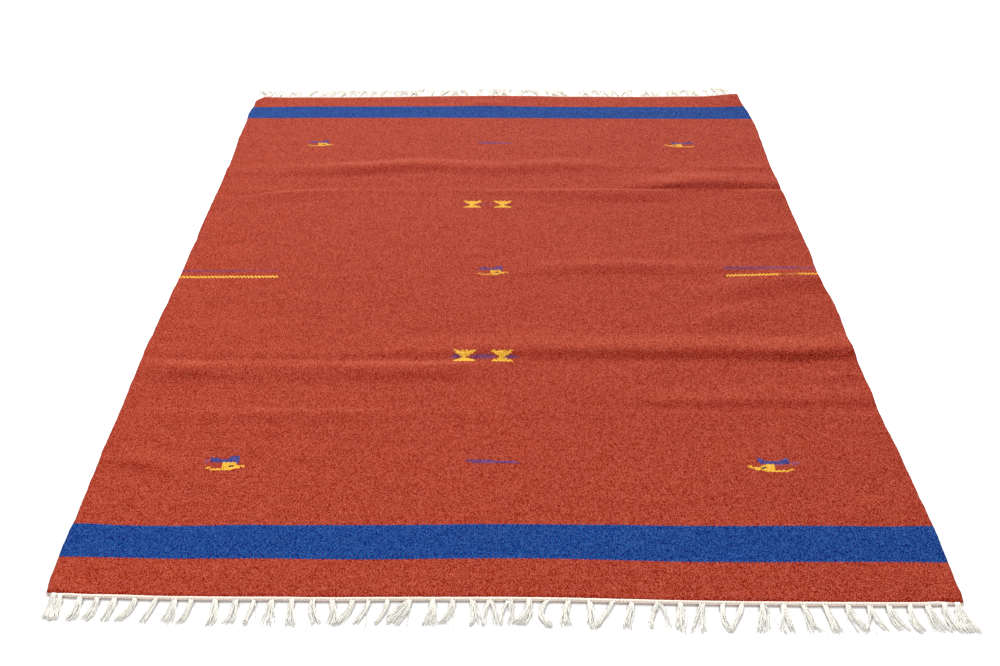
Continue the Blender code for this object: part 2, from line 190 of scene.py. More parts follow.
# Faint creases that only the cloth's visible sheet has.
SOFT_CREASES = {
    "far stripe bump": ridge(0.04, 0.04, (-0.14, 0.935, 0), (-0.04, 0.94, 2.2), (0.07, 0.935, 0)),
    "middle left crease": ridge(
        0.016, 0.022, (-0.48, -0.04, 0), (-0.4, -0.042, 1), (-0.3, -0.042, 0),
    ),
    "middle crease": ridge(0.018, 0.022, (-0.16, 0.058, 0), (-0.07, 0.06, 1), (0.02, 0.062, 0)),
    "right edge crease": ridge(
        0.016, 0.022, (0.56, -0.412, 0), (0.64, -0.41, 1.4), (0.7, -0.408, 1.4),
    ),
    "far right crease": ridge(0.025, 0.025, (0.48, 0.518, 0), (0.58, 0.519, 1), (0.7, 0.519, 0.9)),
    "foot of the far right bulge": ridge(
        0.05, 0.025, (0.28, 0.406, 0), (0.37, 0.406, 1), (0.5, 0.398, 1.2), (0.6, 0.408, 1.5),
        (0.7, 0.408, 1.4),
    ),
    "far pressed line": ridge(
        0.011, 0.03, (-0.69, 0.374, 0), (-0.6, 0.375, 0.5), (-0.35, 0.376, 0.4), (0.1, 0.376, 0.6),
        (0.24, 0.378, 0),
    ),
    "far side of the left crease": ridge(
        0.035, 0.014, (-0.7, -0.345, 0.7), (-0.6, -0.35, 0.5), (-0.4, -0.348, 0.5),
        (-0.18, -0.343, 0.7), (-0.08, -0.343, 0),
    ),
    "left edge dent": ridge(
        0.04, 0.026, (-0.68, -0.408, 0.4), (-0.6, -0.41, 1), (-0.48, -0.414, 0),
    ),
    "right end of the strong ridge": ridge(
        0.04, 0.028, (0.5, -0.338, 0), (0.6, -0.34, 1.4), (0.7, -0.338, 2),
    ),
    "near pressed line": ridge(
        0.013, 0.03, (-0.46, -0.534, 0), (-0.4, -0.535, 0.6), (0.2, -0.537, 0.4),
        (0.68, -0.536, 0.5),
    ),
    "near right fold": ridge(0.03, 0.024, (0.2, -0.497, 0), (0.34, -0.499, 0.9), (0.6, -0.495, 0)),
}

# Curled corners: x, y, height and reach
CORNER_CURLS = (
    (-0.7, -1.0, 0.0025, 0.07),
    (0.7, -1.0, 0.0025, 0.07),
    (-0.7, 1.0, 0.003, 0.1),
    (0.74, 1.02, 0.0105, 0.17),
)

# Random swells: their size, number of waves, shortest and longest wave, and how much these are
# stretched across the rug. SWELL_TURN is how far a wave turns.
Swell = namedtuple("Swell", "size waves shortest longest stretch")
SWELL_TURN = 1.1


def curve_through(stops, at):
    """Values at `at` on a smooth curve through (place, value) stops, level outside them."""
    places, values = np.array(stops, float).T
    slopes = np.zeros(len(places))
    slopes[1:-1] = (values[2:] - values[:-2]) / (places[2:] - places[:-2])
    at = np.asarray(at, float)
    right = np.clip(np.searchsorted(places, at, side="right"), 1, len(places) - 1)
    left = right - 1
    span = places[right] - places[left]
    t = np.clip((at - places[left]) / span, 0, 1)
    bend = slopes[left] * t * (1 - t) ** 2 - slopes[right] * t * t * (1 - t)
    return values[left] + (values[right] - values[left]) * t * t * (3 - 2 * t) + span * bend


def hump(distance, reach):
    """A smooth rise from 0 at `reach` to 1 at no distance."""
    rise = np.cos(0.5 * math.pi * distance / reach) ** 2
    return np.where(np.abs(distance) < reach, rise, 0.0)


def smooth_step(low, high, at):
    """A smooth rise from 0 up to `low` to 1 from `high` on."""
    t = np.clip((at - low) / (high - low), 0, 1)
    return t * t * (3 - 2 * t)


def ripples(swell, x, y, seed):
    """Height of a random swell at (x, y)."""
    chance = np.random.default_rng(seed)
    total = np.zeros(np.shape(x))
    for _ in range(swell.waves):
        length = chance.uniform(swell.shortest, swell.longest)
        turn = chance.uniform(-1, 1) * SWELL_TURN
        phase = chance.uniform(0, 2 * math.pi)
        passed = x * math.sin(turn) / swell.stretch + y * math.cos(turn)
        total += np.sin(2 * math.pi * passed / length + phase)
    return swell.size * total / math.sqrt(swell.waves)


def ridge_height(fold, x, y):
    """Height of a ridge at (x, y). Beyond its outer stops it runs on as it is there."""
    beyond = y - curve_through(fold.line, x)
    reach = np.where(beyond > 0, fold.far_slope, fold.near_slope)
    return np.maximum(curve_through(fold.heights, x), 0) * hump(beyond, reach)


def lift(x, y):
    """Height of the cloth's underside over the floor, as the solid has it."""
    ridges = sum(ridge_height(fold, x, y) for fold in RIDGES.values())
    curls = sum(
        height * hump(np.hypot(x - corner_x, y - corner_y), reach)
        for corner_x, corner_y, height, reach in CORNER_CURLS
    )
    return ridges + curls


def end_line(end, x):
    """y of the cloth's near or far end at x."""
    return end * HALF_LENGTH + curve_through(NEAR_END if end == NEAR else FAR_END, x)


def field_place(across, along):
    """x and y on the uneven field of a place woven at across, from -1 to 1, and along."""
    side = np.where(across < 0, curve_through(LEFT_SIDE, along), curve_through(RIGHT_SIDE, along))
    x = across * HALF_WIDTH + np.abs(across) * side
    stray = 0.0
    for number, (_, line) in enumerate(WEFT_LINES):
        share = [(woven, float(index == number)) for index, (woven, _) in enumerate(WEFT_LINES)]
        stray = stray + curve_through(share, along) * curve_through(line, x)
    return x, along + stray


# Pieces of mesh


def new_object(name, data):
    """An object with this data, in the scene."""
    thing = bpy.data.objects.new(name, data)
    bpy.context.scene.collection.objects.link(thing)
    return thing


class MeshParts:
    """Vertices and faces gathered for one piece, with a vector for each vertex."""

    def __init__(self):
        self.points, self.faces, self.marks, self.count = [], [], [], 0

    def add(self, points, faces, marks):
        self.points.append(points)
        self.marks.append(marks)
        self.faces += [tuple(int(vert) + self.count for vert in face) for face in faces]
        self.count += len(points)

    def build(self, name, material, mark):
        """The piece in its place, whose vertices carry their vectors under the name `mark`."""
        mesh = bpy.data.meshes.new(name)
        points = np.concatenate(self.points) + FIELD_CENTRE
        mesh.from_pydata(points.tolist(), [], self.faces)
        mesh.materials.append(material)
        attribute = mesh.attributes.new(mark, "FLOAT_VECTOR", "POINT")
        marks = np.concatenate(self.marks).astype(np.float32)
        attribute.data.foreach_set("vector", marks.ravel())
        mesh.shade_smooth()
        mesh.update()
        return new_object(name, mesh)


def tube(parts, path, across, up, sides, yarn):
    """A closed tube along path, of half-width across and half-height up at each point.

    Its marks are the distance along it, a share that falls from 1 to 0 and rises again on the
    way round it, and the yarn's own number."""
    path = np.asarray(path, float)
    rings = len(path)
    ahead = np.gradient(path, axis=0)
    ahead /= np.linalg.norm(ahead, axis=1)[:, None]
    aside = np.cross(ahead, (0.0, 0.0, 1.0))
    aside /= np.linalg.norm(aside, axis=1)[:, None]
    above = np.cross(aside, ahead)
    wide = aside * np.broadcast_to(across, rings)[:, None]
    high = above * np.broadcast_to(up, rings)[:, None]
    turns = np.arange(sides) / sides
    angle = 2 * math.pi * turns[:, None]
    points = path[:, None] + np.cos(angle) * wide[:, None] + np.sin(angle) * high[:, None]
    steps = np.linalg.norm(np.diff(path, axis=0), axis=1)
    marks = np.zeros((rings, sides, 3))
    marks[..., 0] = np.concatenate([[0.0], np.cumsum(steps)])[:, None]
    marks[..., 1] = np.abs(2 * turns - 1)
    marks[..., 2] = yarn
    last = (rings - 1) * sides
    faces = []
    for ring in range(0, last, sides):
        for side in range(sides):
            after = (side + 1) % sides
            beyond = ring + sides
            faces.append((ring + side, ring + after, beyond + after, beyond + side))
    faces.append(tuple(range(sides))[::-1])
    faces.append(tuple(range(last, last + sides)))
    parts.add(points.reshape(-1, 3), faces, marks.reshape(-1, 3))


# Cloth

CLOTH_COLUMNS = 216
CLOTH_ROWS = 342
UNDER_STEP = 3

# The rows crowd together within reach of the sharpest creases.
CRISP_CREASES = (-0.535, -0.362, 0.382)
CRISP_REACH = 0.05
CRISP_CROWDING = 1.2
CROWDING_SAMPLES = 4001

# The rim's rings from the top down: how far each is drawn in, and its height
EDGE_INSET = 0.0012
RIM = ((0.00045, 0.0034), (0.0, 0.002), (0.00045, 0.0006), (EDGE_INSET, 0.0))

# The cloth's own unevenness over the floor, and that of its side edges, which EDGES_APART keeps
# from being alike
FINE_SWELL = Swell(0.00016, 26, 0.035, 0.11, 2.2)
BROAD_SWELL = Swell(0.0003, 14, 0.12, 0.3, 1.5)
SWELL_MIDDLE = 0.00035
EDGE_SWELL = Swell(0.0006, 9, 0.012, 0.08, 1.0)
EDGE_START = 0.97
EDGES_APART = 3.0

# How far the last rows of weft run on under the heading, and over what length they do
END_TUCK = 0.0028
TUCK_LENGTH = 0.01


def cloth_foot(x, y):
    """Height over the floor of the visible cloth's underside."""
    creases = sum(ridge_height(crease, x, y) for crease in SOFT_CREASES.values())
    swell = ripples(FINE_SWELL, x, y, seed=11) + ripples(BROAD_SWELL, x, y, seed=12)
    return lift(x, y) + creases + np.maximum(swell + SWELL_MIDDLE, 0)


def woven_points(across, along, inset, height):
    """Points of the cloth and their woven places, drawn in from the edge by inset."""
    across = across * (1 - inset / HALF_WIDTH)
    along = along * (1 - inset / HALF_LENGTH)
    x, y = field_place(across, along)
    tuck = END_TUCK * smooth_step(HALF_LENGTH - TUCK_LENGTH, HALF_LENGTH, np.abs(along))
    y = y + np.sign(along) * tuck
    edge = smooth_step(EDGE_START, 1.0, np.abs(across))
    x = x + edge * ripples(EDGE_SWELL, np.sign(across) * EDGES_APART, y, seed=13)
    z = cloth_foot(x, y) + height
    points = np.stack([x, y, z], axis=-1).reshape(-1, 3)
    woven = np.stack([across * HALF_WIDTH, along, np.zeros_like(along)], axis=-1)
    return points, woven.reshape(-1, 3)


def rim_places():
    """Row and column of each point round the grid's edge, turning left from the near left."""
    columns, rows = CLOTH_COLUMNS, CLOTH_ROWS
    return (
        [(0, column) for column in range(columns)]
        + [(row, columns) for row in range(rows)]
        + [(rows, column) for column in range(columns, 0, -1)]
        + [(row, 0) for row in range(rows, 0, -1)]
    )


def under_faces(vert):
    """The underside's faces: coarser by UNDER_STEP, and joined to every point of the rim."""
    faces = []
    steps = range(UNDER_STEP)
    for low in range(0, CLOTH_ROWS, UNDER_STEP):
        for left in range(0, CLOTH_COLUMNS, UNDER_STEP):
            high, right = low + UNDER_STEP, left + UNDER_STEP
            around = (
                [(low + step, left) for step in steps]
                + [(high, left + step) for step in steps]
                + [(high - step, right) for step in steps]
                + [(low, right - step) for step in steps]
            )
            faces.append(tuple(vert[place] for place in around if place in vert))
    return faces


def row_places():
    """Places of the cloth's rows along it."""
    even = np.linspace(-HALF_LENGTH, HALF_LENGTH, CROWDING_SAMPLES)
    crisp = sum(hump(even - crease, CRISP_REACH) for crease in CRISP_CREASES)
    crowding = 1 + CRISP_CROWDING * crisp
    passed = np.concatenate([[0.0], np.cumsum((crowding[1:] + crowding[:-1]) / 2)])
    return np.interp(np.linspace(0, passed[-1], CLOTH_ROWS + 1), passed, even)


def make_cloth(material):
    """One sheet: a fine grid on top, a rounded rim, and a coarser underside."""
    across, along = np.meshgrid(np.linspace(-1, 1, CLOTH_COLUMNS + 1), row_places())
    rim = rim_places()
    inner = [
        (row, column)
        for row in range(UNDER_STEP, CLOTH_ROWS, UNDER_STEP)
        for column in range(UNDER_STEP, CLOTH_COLUMNS, UNDER_STEP)
    ]
    layers = [woven_points(across, along, EDGE_INSET, CLOTH_THICKNESS)]
    for places, rings in ((rim, RIM), (inner, ((EDGE_INSET, 0.0),))):
        rows, columns = np.array(places).T
        for inset, height in rings:
            layers.append(woven_points(across[rows, columns], along[rows, columns], inset, height))

    wide = CLOTH_COLUMNS + 1
    row, column = np.mgrid[0:CLOTH_ROWS, 0:CLOTH_COLUMNS]
    start = (row * wide + column).ravel()
    faces = np.stack([start, start + 1, start + wide + 1, start + wide], axis=1).tolist()
    upper = [row * wide + column for row, column in rim]
    first = across.size
    for _ in RIM:
        lower = list(range(first, first + len(rim)))
        for index in range(len(rim)):
            after = (index + 1) % len(rim)
            faces.append((upper[index], lower[index], lower[after], upper[after]))
        upper = lower
        first += len(rim)
    under = {place: first + index for index, place in enumerate(inner)}
    faces += under_faces({**under, **dict(zip(rim, upper))})

    parts = MeshParts()
    points, woven = zip(*layers)
    parts.add(np.concatenate(points), faces, np.concatenate(woven))
    return parts.build("rug_cloth_sheet", material, "woven")


# Headings

HEADING_STEP = 0.0009
HEADING_SIDES = 12
HEADING_PITCH = 0.0095
HEADING_MIDDLE = {NEAR: 0.0039, FAR: 0.0032}

# A heading gets smaller towards its two ends: down to this share, over this length.
HEADING_END_SCALE = 0.55
HEADING_TAPER = 0.045

# Its two plies: half-width and half-height, swing to the side and up, their yarns' own numbers,
# and how unevenly they swell and turn
PLY_HALVES = (0.0026, 0.0011)
PLY_SWING = (0.0013, 0.0003)
PLY_YARNS = (0.1, 0.47)
PLY_SWELL = Swell(0.05, 8, 0.02, 0.09, 0.4)
PLY_SLIP = Swell(0.0016, 6, 0.05, 0.2, 0.4)


def make_heading(name, end, material):
    """A twined band: two plies of cotton cord turning round each other along the cloth's end."""
    (left, right), _ = field_place(np.array((-1.0, 1.0)), np.full(2, end * HALF_LENGTH))
    x = np.arange(left, right, HEADING_STEP)
    line = end_line(end, x)
    y = line + end * (HEADING_DEPTH / 2 + GAP)
    from_side = np.minimum(x - x[0], x[-1] - x)
    size = HEADING_END_SCALE + (1 - HEADING_END_SCALE) * smooth_step(0, HEADING_TAPER, from_side)
    middle = lift(x, line) + HEADING_MIDDLE[end] * size
    swelling = size * (1 + ripples(PLY_SWELL, x, 0 * x, seed=21 + end))
    turn = 2 * math.pi * (x + ripples(PLY_SLIP, x, 0 * x, seed=31 + end)) / HEADING_PITCH
    parts = MeshParts()
    for ply, yarn in enumerate(PLY_YARNS):
        phase = turn + ply * math.pi
        beside = PLY_SWING[0] * np.cos(phase) * size
        above = PLY_SWING[1] * np.sin(phase) * size
        path = np.stack([x, y + beside, middle + above], axis=1)
        half_width, half_height = (half * swelling for half in PLY_HALVES)
        tube(parts, path, half_width, half_height, HEADING_SIDES, yarn)
    return parts.build(name, material, "yarn")


# Fringes

STRAND_RINGS = 15
STRAND_SIDES = 6
STRAND_RADIUS = 0.00078
STRAND_SIZES = (0.85, 1.1)
STRAND_FLATNESS = 0.9
TIP_TAPER = 0.45
TIP_TAPER_START = 0.8

# Strands start under the heading, in a neck, and sink from the cloth's folds to the floor. Upper
# layers lie higher at the neck, and on the floor less so towards the tip.
STRAND_ROOT = 0.004
NECK_WIDTH = 0.0055
NECK_HEIGHT = {NEAR: 0.0034, FAR: 0.0024}
NECK_LAYERS = 0.0012
FLOOR_LAYERS = 0.0016
FLOOR_LAYERS_GONE = 0.8
FOLD_REACH = 0.028
SINK = (0.05, 0.9)

# How the strands of a tassel differ: their places in it, tips and reach
STRAND_PLACES = (0.15, 0.85)
TIP_SCATTER = {NEAR: 0.0013, FAR: 0.008}
TIP_TRIM = 0.007
REACH_LOSS = 0.16
REACH_SCATTER = 0.0008

# How they fan out, and the size, half turns and phase of their waves: slow, quick, up and down
FAN = (-0.15, 1.05)
FAN_SHARE = 0.55
WAVE, WAVE_TURNS, WAVE_PHASE = 0.0012, 2.0, 0.6
KINK, KINK_TURNS, KINK_PHASE = 0.0004, 5.3, 6
BOB, BOB_TURN, BOB_PHASE = 0.0004, 7, 5

# The frayed tip's fibres
WHISKERS = 2
WHISKER_SIDES = 3
WHISKER_HALF_WIDTHS = (0.00034, 0.0003, 0.00024, 0.0001)
WHISKER_HALF_HEIGHT = 0.00024
WHISKER_ROOT = 0.002
WHISKER_REACHES = (0.0015, 0.004)
WHISKER_TURN = 0.35
WHISKER_BEND = 0.0008
WHISKER_DROP = 0.0004
WHISKER_LOWEST = 0.00025

# Loose strands: more rings, their height at the neck, and a thinner and slightly arched run
LOOSE_RINGS = STRAND_RINGS + 6
LOOSE_NECK = 0.0036
LOOSE_ARCH = 0.0008
LOOSE_SIZE = 0.8

# Near tassels from the left, in millimetres: neck, leftmost and rightmost tip, how far the
# strands bow to the right halfway down, reach, and number of strands.
Tassel = namedtuple("Tassel", "neck left right bow reach strands")
NEAR_TASSELS = [Tassel(*row) for row in (
    (-679, -684, -670, 0, 50, 17), (-669, -673, -660, 0, 50, 17), (-638, -650, -634, 2, 50, 10),
    (-613, -629, -610, 4, 49, 9), (-586, -601, -583, 2, 50, 9), (-555, -578, -563, 5, 48, 11),
    (-523, -540, -527, 1, 51, 9), (-495, -507, -491, 2, 50, 8), (-469, -486, -473, 3, 51, 9),
    (-434, -441, -427, 2, 53, 12), (-403, -414, -400, 3, 52, 9), (-375, -387, -377, 1, 53, 8),
    (-348, -356, -339, 0, 52, 9), (-317, -322, -306, -2, 54, 11), (-286, -283, -268, -4, 52, 9),
    (-258, -262, -248, 3, 53, 9), (-226, -250, -239, 5, 51, 10), (-201, -223, -214, 3, 50, 7),
    (-173, -192, -182, 4, 51, 9), (-140, -172, -152, 4, 52, 10), (-106, -121, -100, 3, 55, 11),
    (-75, -97, -82, 5, 51, 9), (-46, -51, -41, 2, 54, 8), (-19, -32, -24, -2, 53, 5),
    (11, -6, 4, -4, 52, 5), (40, 14, 36, 6, 52, 12), (70, 67, 76, -13, 56, 8),
    (101, 86, 104, -3, 54, 11), (132, 126, 141, 0, 56, 11), (168, 138, 146, 1, 53, 10),
    (196, 178, 189, 0, 57, 10), (235, 217, 225, -3, 54, 6), (269, 256, 271, 0, 57, 12),
    (302, 279, 285, 0, 57, 5), (333, 332, 342, -5, 57, 9), (362, 334, 345, 3, 57, 10),
    (393, 374, 386, 1, 58, 9), (424, 413, 436, 0, 58, 11), (454, 453, 472, 0, 58, 9),
    (486, 486, 502, 0, 58, 10), (521, 524, 545, -3, 56, 9), (553, 538, 545, 2, 56, 5),
    (583, 583, 605, -4, 54, 10), (616, 612, 628, -4, 57, 9), (642, 640, 665, -3, 57, 10),
    (668, 661, 682, -3, 55, 10), (688, 678, 709, -3, 57, 34),
)]

# Second bunches that share a neck with a tassel above.
NEAR_SPLITS = [Tassel(*row) for row in (
    (-19, -13, -5, 2, 51, 5), (11, 9, 19, 2, 54, 6), (-46, -38, -27, 1, 51, 4),
    (236, 240, 250, 4, 56, 3), (303, 294, 301, 0, 58, 6), (555, 561, 576, -3, 53, 5),
    (396, 389, 399, 2, 57, 3), (-140, -176, -165, -3, 47, 4),
)]

# Single strands that stray, as points of x and distance out from the heading, in millimetres.
NEAR_STRAYS = (
    ((-495, 0), (-500, 18), (-510, 33), (-522, 45)),
    ((-374, 0), (-370, 12), (-366, 33), (-353, 47)),
    ((-201, 0), (-203, 18), (-202, 36), (-204, 52)),
    ((-75, 0), (-72, 16), (-73, 34), (-72, 51)),
    ((62, 6), (58, 21), (68, 33), (84, 36), (95, 33)),
    ((196, 6), (200, 20), (211, 29), (224, 26), (233, 12)),
    ((394, 0), (404, 20), (410, 38), (421, 54)),
    ((-140, 0), (-139, 20), (-142, 40), (-138, 52)),
    ((521, 4), (514, 17), (498, 22), (491, 25)),
    ((553, 0), (555, 17), (553, 38), (552, 55)),
    ((583, 2), (596, 14), (607, 22), (614, 34)),
    ((302, 0), (296, 21), (288, 42), (273, 57)),
    ((269, 0), (277, 22), (271, 41), (268, 56)),
    ((454, 0), (462, 22), (473, 43), (480, 55)),
)

# The seeds of the fringes' random draws
FRINGE_SEEDS = {NEAR: 5, FAR: 6}
FAR_TASSELS_SEED = 8

# Far tassels, in millimetres: their necks are evenly spaced, and their tips gather in clumps.
FAR_NECKS = 47
FAR_LAST_NECK = 672
FAR_REACHES = (60, 72)
FAR_CORNER = 600
FAR_CORNER_REACH = 10
FAR_BOW = 6
FAR_STRANDS = (15, 21)
FAR_CLUMPS = (
    (-712, -634), (-624, -602), (-597, -577), (-556, -545), (-533, -499), (-496, -426),
    (-415, -397), (-392, -334), (-328, -218), (-212, -198), (-163, -94), (-68, -51), (-16, 36),
    (53, 108), (134, 192), (221, 296), (311, 395), (418, 444), (452, 475), (484, 591), (608, 669),
)


def far_tassels():
    """Tassels whose tips share out the nearest clump."""
    chance = np.random.default_rng(FAR_TASSELS_SEED)
    members = [[] for _ in FAR_CLUMPS]
    for neck in np.linspace(-FAR_LAST_NECK, FAR_LAST_NECK, FAR_NECKS):
        away = [max(left - neck, neck - right, 0) for left, right in FAR_CLUMPS]
        members[int(np.argmin(away))].append(neck)
    tassels = []
    for (left, right), necks in zip(FAR_CLUMPS, members):
        tips = np.linspace(left, right, len(necks) + 1)
        for neck, low, high in zip(necks, tips, tips[1:]):
            reach = chance.uniform(*FAR_REACHES) + (FAR_CORNER_REACH if neck > FAR_CORNER else 0)
            bow = chance.uniform(-FAR_BOW, FAR_BOW)
            tassels.append(Tassel(neck, low, high, bow, reach, chance.integers(*FAR_STRANDS)))
    return tassels


def strand_path(end, x, out, height):
    """Points of a strand from its x, its distance out from the heading, and its height."""
    line = end_line(end, x)
    y = line + end * (HEADING_DEPTH + 2 * GAP + out)
    hangs = np.clip(1 - out / FOLD_REACH, 0, 1)
    return np.stack([x, y, height + hangs * hangs * lift(x, line)], axis=1)


def turned(way, angle):
    """A level direction turned to the left."""
    cos, sin = math.cos(angle), math.sin(angle)
    return np.array((way[0] * cos - way[1] * sin, way[0] * sin + way[1] * cos, 0.0))


def add_strand(parts, end, x, out, height, radius, chance):
    """One strand with a frayed tip."""
    path = strand_path(end, x, out, height)
    yarn = chance.uniform()
    taper = 1 - TIP_TAPER * smooth_step(TIP_TAPER_START, 1.0, np.linspace(0, 1, len(x)))
    tube(parts, path, radius * taper, radius * taper * STRAND_FLATNESS, STRAND_SIDES, yarn)
    ahead = path[-1] - path[-2]
    ahead[2] = 0
    ahead /= np.linalg.norm(ahead)
    share = np.linspace(0, 1, len(WHISKER_HALF_WIDTHS))[:, None]
    for _ in range(WHISKERS):
        way = turned(ahead, chance.normal(0, WHISKER_TURN))
        reach = chance.uniform(*WHISKER_REACHES) + WHISKER_ROOT
        bend = turned(way, math.pi / 2) * chance.normal(0, WHISKER_BEND)
        hair = path[-1] - WHISKER_ROOT * ahead + way * share * reach + bend * share * share
        hair[:, 2] = np.maximum(hair[:, 2] - WHISKER_DROP * share[:, 0], WHISKER_LOWEST)
        tube(parts, hair, WHISKER_HALF_WIDTHS, WHISKER_HALF_HEIGHT, WHISKER_SIDES, yarn)


def wave(half_turns, phase, t):
    """A wave that grows along a strand; t runs along it from 0 to 1."""
    return np.sin(half_turns * math.pi * t + phase) * t


def add_tassel(parts, end, tassel, chance):
    """A bunch of strands from one neck, fanning out to the tips."""
    t = np.linspace(0, 1, STRAND_RINGS)
    order = chance.permutation(int(tassel.strands))
    shared_wave = WAVE * chance.uniform(-1, 1)
    for index in range(int(tassel.strands)):
        share = (index + chance.uniform(*STRAND_PLACES)) / tassel.strands
        neck = MM * tassel.neck + (share - 0.5) * NECK_WIDTH
        tip = MM * (tassel.left + share * (tassel.right - tassel.left))
        tip += chance.normal(0, TIP_SCATTER[end])
        reach = (MM * tassel.reach - TIP_TRIM) * (1 - REACH_LOSS * chance.uniform() ** 2)
        reach += chance.normal(0, REACH_SCATTER)
        out = -STRAND_ROOT + (reach + STRAND_ROOT) * t
        gone = smooth_step(*FAN, t) * FAN_SHARE + t * (1 - FAN_SHARE)
        x = neck + (tip - neck) * gone + MM * tassel.bow * np.sin(math.pi * t)
        size = chance.normal(0, WAVE) + shared_wave
        x += size * wave(WAVE_TURNS, chance.uniform(-WAVE_PHASE, WAVE_PHASE), t)
        x += chance.normal(0, KINK) * wave(KINK_TURNS, chance.uniform(0, KINK_PHASE), t)
        layer = order[index] / tassel.strands
        neck_height = NECK_HEIGHT[end] + NECK_LAYERS * layer
        floor_height = STRAND_RADIUS + FLOOR_LAYERS * layer * (1 - FLOOR_LAYERS_GONE * t)
        floor_height += BOB * np.abs(np.sin(BOB_TURN * t + BOB_PHASE * share))
        height = neck_height + (floor_height - neck_height) * smooth_step(*SINK, t)
        radius = STRAND_RADIUS * chance.uniform(*STRAND_SIZES)
        add_strand(parts, end, x, out, height, radius, chance)


def add_loose_strand(parts, end, stops, chance):
    """A single strand through stops of x and distance out."""
    places = MM * np.array(stops, float)
    passed = np.linspace(0, 1, len(places))
    t = np.linspace(0, 1, LOOSE_RINGS)
    x, out = (curve_through(list(zip(passed, places[:, axis])), t) for axis in (0, 1))
    height = LOOSE_NECK + (STRAND_RADIUS - LOOSE_NECK) * smooth_step(0, 0.5, t)
    height += LOOSE_ARCH * np.sin(math.pi * t)
    add_strand(parts, end, x, out, height, STRAND_RADIUS * LOOSE_SIZE, chance)


def make_fringe(name, end, tassels, loose_strands, material):
    chance = np.random.default_rng(FRINGE_SEEDS[end])
    parts = MeshParts()
    for tassel in tassels:
        add_tassel(parts, end, tassel, chance)
    for stops in loose_strands:
        add_loose_strand(parts, end, stops, chance)
    return parts.build(name, material, "yarn")


# Materials


class Field:
    """A number, colour or vector that varies over a surface: a node's output."""

    def __init__(self, tree, socket):
        self.tree, self.socket = tree, socket

    def math(self, operation, *others):
        node = self.tree.nodes.new("ShaderNodeMath")
        node.operation = operation
        for slot, value in zip(node.inputs, (self, *others)):
            feed(self.tree, slot, value)
        return Field(self.tree, node.outputs[0])

    def vector_math(self, operation, other, slot=1):
        node = self.tree.nodes.new("ShaderNodeVectorMath")
        node.operation = operation
        feed(self.tree, node.inputs[0], self)
        feed(self.tree, node.inputs[slot], other)
        return Field(self.tree, node.outputs[0])

    def __add__(self, other):
        return self.math("ADD", other)

    def __sub__(self, other):
        return self.math("SUBTRACT", other)

    def __mul__(self, other):
        return self.math("MULTIPLY", other)

    def __truediv__(self, other):
        return self.math("DIVIDE", other)

    def __gt__(self, other):
        return self.math("GREATER_THAN", other)

    def __lt__(self, other):
        return self.math("LESS_THAN", other)

    __radd__ = __add__

    def floor(self):
        return self.math("FLOOR")

    def fraction(self):
        return self.math("FRACT")

    def clamped(self):
        return self.math("MAXIMUM", 0.0).math("MINIMUM", 1.0)

    def within(self, low, high):
        return (self > low) * (self < high)

    def crown(self):
        """A share's round top: 0 at both its ends and 1 in the middle."""
        off = self * 2 - 1
        return (off * off) * -1 + 1

    def spread(self, low, high):
        """A share of 0 to 1 as the same share of low to high."""
        return self * (high - low) + low

    def about(self, reach):
        """A share of 0 to 1 as the same share of -reach to reach."""
        return self.spread(-reach, reach)

    def xyz(self):
        """A vector's three numbers."""
        node = self.tree.nodes.new("ShaderNodeSeparateXYZ")
        feed(self.tree, node.inputs[0], self)
        return [Field(self.tree, output) for output in node.outputs]


def feed(tree, slot, value):
    """Gives a node's input a field or a plain value."""
    if isinstance(value, Field):
        tree.links.new(value.socket, slot)
    else:
        slot.default_value = value


def source(tree, kind, output):
    """What a node without inputs gives out."""
    return Field(tree, tree.nodes.new(kind).outputs[output])


def linear(red, green, blue):
    """A colour of the screen, from 0 to 255, as light."""
    values = [value / 255 for value in (red, green, blue)]
    light = (v / 12.92 if v <= 0.04045 else ((v + 0.055) / 1.055) ** 2.4 for v in values)
    return (*light, 1.0)


def mix(tree, share, first, second):
    """The colour a share of the way from the first to the second."""
    node = tree.nodes.new("ShaderNodeMix")
    node.data_type = "RGBA"
    feed(tree, node.inputs[0], share)
    feed(tree, node.inputs[6], first)
    feed(tree, node.inputs[7], second)
    return Field(tree, node.outputs[2])


def mark(tree, name):
    """The three numbers of a mesh's own mark."""
    node = tree.nodes.new("ShaderNodeAttribute")
    node.attribute_name = name
    return Field(tree, node.outputs["Vector"]).xyz()


def vector(tree, *values):
    node = tree.nodes.new("ShaderNodeCombineXYZ")
    for slot, value in zip(node.inputs, values):
        feed(tree, slot, value)
    return Field(tree, node.outputs[0])


def noise(tree, place, scale, detail=2.0, roughness=0.5):
    """A soft noise about 0.5."""
    node = tree.nodes.new("ShaderNodeTexNoise")
    feed(tree, node.inputs["Vector"], place)
    node.inputs["Scale"].default_value = scale
    node.inputs["Detail"].default_value = detail
    node.inputs["Roughness"].default_value = roughness
    return Field(tree, node.outputs["Fac"])


def speckle(tree, *place):
    """A random number from 0 to 1 for each place of three numbers."""
    node = tree.nodes.new("ShaderNodeTexWhiteNoise")
    node.noise_dimensions = "3D"
    feed(tree, node.inputs["Vector"], vector(tree, *place))
    return Field(tree, node.outputs["Value"])


def new_material(name, roughness, specular, sheen=0.0):
    """A material whose roughness, gloss and sheen are the same all over."""
    material = bpy.data.materials.new(name)
    material.use_nodes = True
    shader = material.node_tree.nodes["Principled BSDF"]
    shader.inputs["Roughness"].default_value = roughness
    shader.inputs["Specular IOR Level"].default_value = specular
    shader.inputs["Sheen Weight"].default_value = sheen
    shader.inputs["Sheen Roughness"].default_value = SHEEN_ROUGHNESS
    return material, material.node_tree, shader


